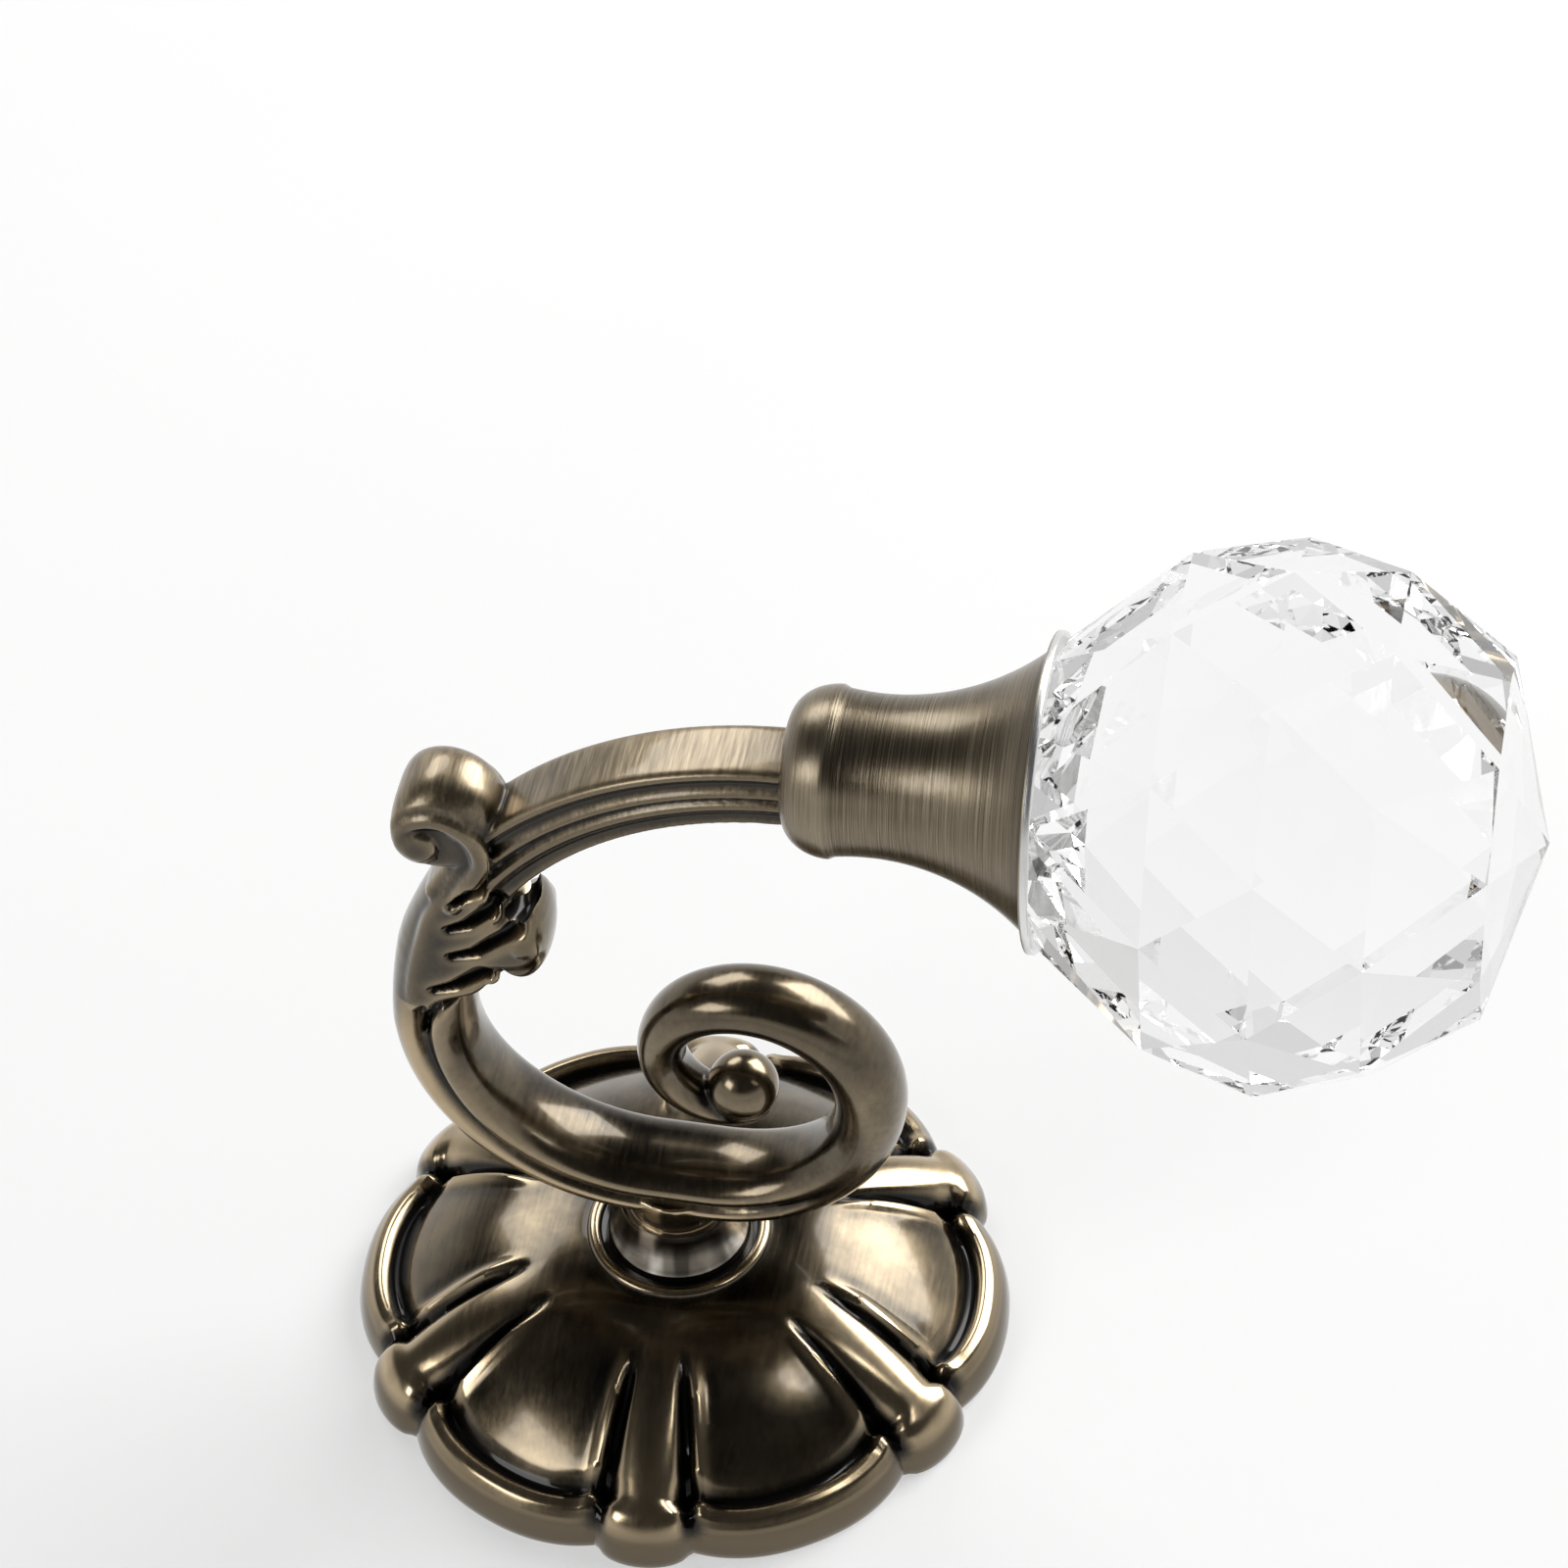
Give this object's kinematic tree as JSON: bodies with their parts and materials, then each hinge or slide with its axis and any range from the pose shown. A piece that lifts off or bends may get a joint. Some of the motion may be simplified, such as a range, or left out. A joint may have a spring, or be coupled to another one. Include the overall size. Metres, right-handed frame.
{
  "type": "curtain holdback",
  "caption": "Curtain holdback with a ribbed round wall rose, a scrolled cast hook with a leaf and volute, a trumpet socket and a faceted clear glass ball.",
  "frame": {"origin": "middle of the rose's back, in the plane of the wall", "axes": "+Z away from the wall, +X towards the glass ball's side, the hook in the plane Y = 0"},
  "size_m": [0.1142, 0.0666, 0.1064],
  "materials": {
    "antique_casting": "dark antique patina, glossy lacquer over brushed relief",
    "polished_collar": "polished, silvery",
    "brushed_socket": "antique, brushed, with a bare silvery front face",
    "clear_glass": "clear, cut and polished",
    "plated_steel": "zinc plated"
  },
  "bodies": {
    "root": {"rosette": "antique_casting", "hook_arm": "antique_casting", "stem_collar": "polished_collar", "ball_socket": "brushed_socket", "crystal_ball": "clear_glass", "wall_plate": "plated_steel", "centre_screw": "plated_steel", "centre_nut": "plated_steel", "socket_stud": "plated_steel"}
  },
  "joints": []
}
